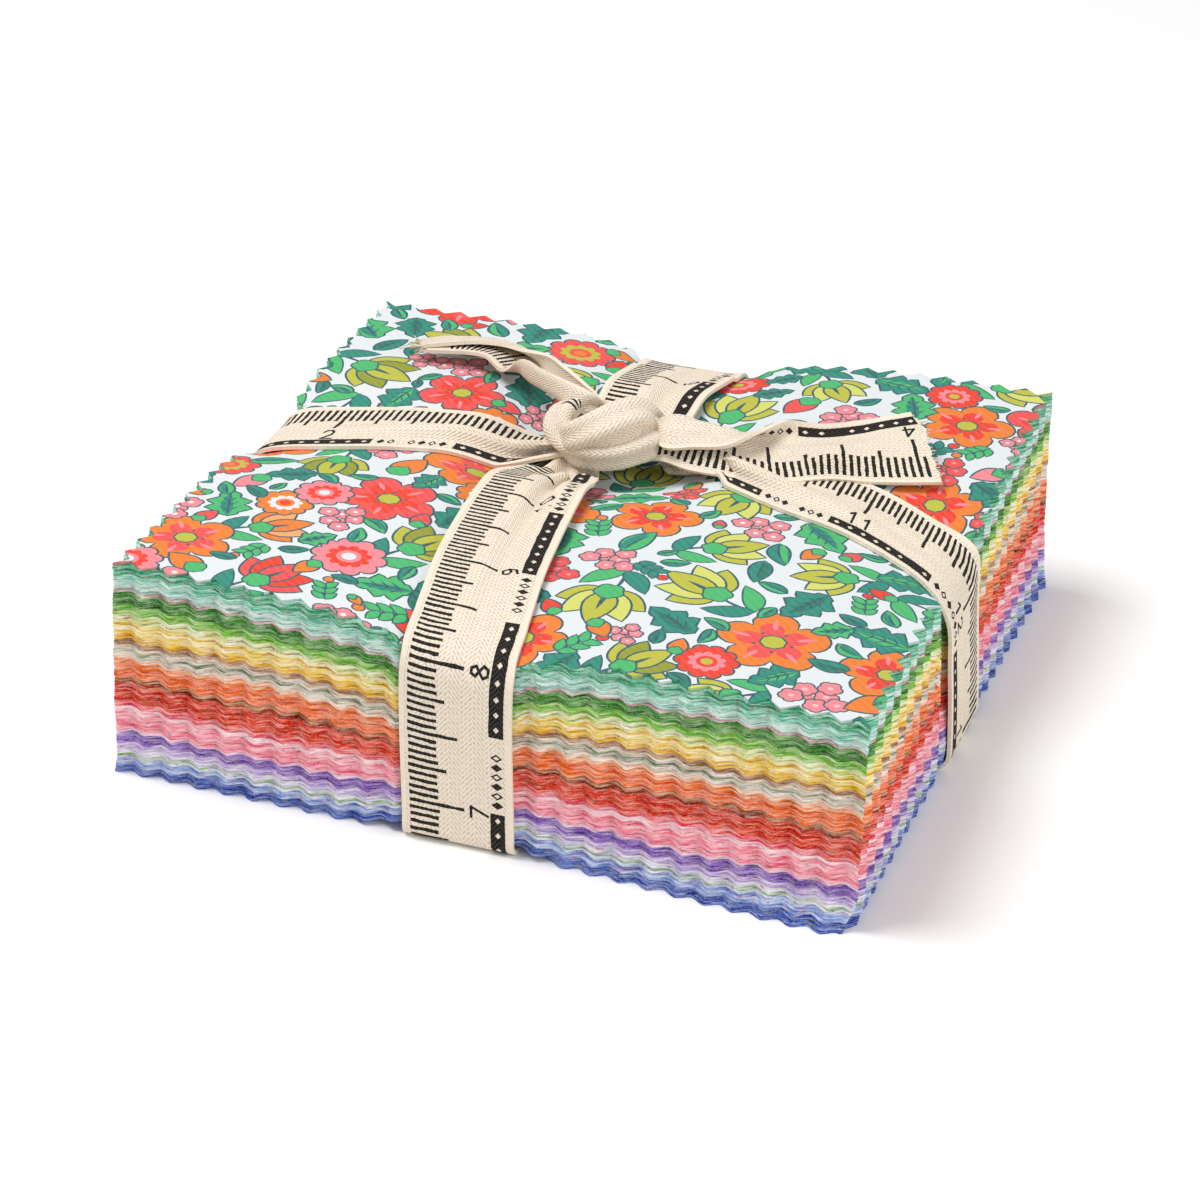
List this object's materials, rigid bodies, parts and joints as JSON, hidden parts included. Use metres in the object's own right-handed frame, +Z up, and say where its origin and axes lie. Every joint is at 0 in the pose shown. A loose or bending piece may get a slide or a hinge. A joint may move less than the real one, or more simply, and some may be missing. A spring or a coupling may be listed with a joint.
{
  "type": "tied stack of fabric squares",
  "caption": "Square stack of pinked cotton fabric squares in many colours, tied both ways with printed cotton twill tape knotted on top with two free ends.",
  "frame": {"origin": "on the surface the stack rests on, under the middle of the squares", "axes": "+X to the right along the front edge of the stack, +Y from the front to the back, +Z up out of the top square"},
  "size_m": [0.1303, 0.1302, 0.0477],
  "materials": {
    "squares_01": "matt plain-woven printed cotton, seen at its pinked edges",
    "squares_02": "matt plain-woven printed cotton, seen at its pinked edges",
    "squares_03": "matt plain-woven printed cotton, seen at its pinked edges",
    "squares_04": "matt plain-woven printed cotton, seen at its pinked edges",
    "squares_05": "matt plain-woven printed cotton, seen at its pinked edges",
    "squares_06": "matt plain-woven printed cotton, seen at its pinked edges",
    "squares_07": "matt plain-woven printed cotton, seen at its pinked edges",
    "squares_08": "matt plain-woven printed cotton, seen at its pinked edges",
    "squares_09": "matt plain-woven printed cotton, seen at its pinked edges",
    "squares_10": "matt plain-woven printed cotton, seen at its pinked edges",
    "squares_11": "matt plain-woven printed cotton, seen at its pinked edges",
    "squares_12": "matt plain-woven printed cotton, seen at its pinked edges",
    "tape": "matt cream herringbone twill with a printed black scale"
  },
  "bodies": {
    "root": {"squares_01": "squares_01", "squares_02": "squares_02", "squares_03": "squares_03", "squares_04": "squares_04", "squares_05": "squares_05", "squares_06": "squares_06", "squares_07": "squares_07", "squares_08": "squares_08", "squares_09": "squares_09", "squares_10": "squares_10", "squares_11": "squares_11", "squares_12": "squares_12", "tie_tape": "tape"}
  },
  "joints": []
}
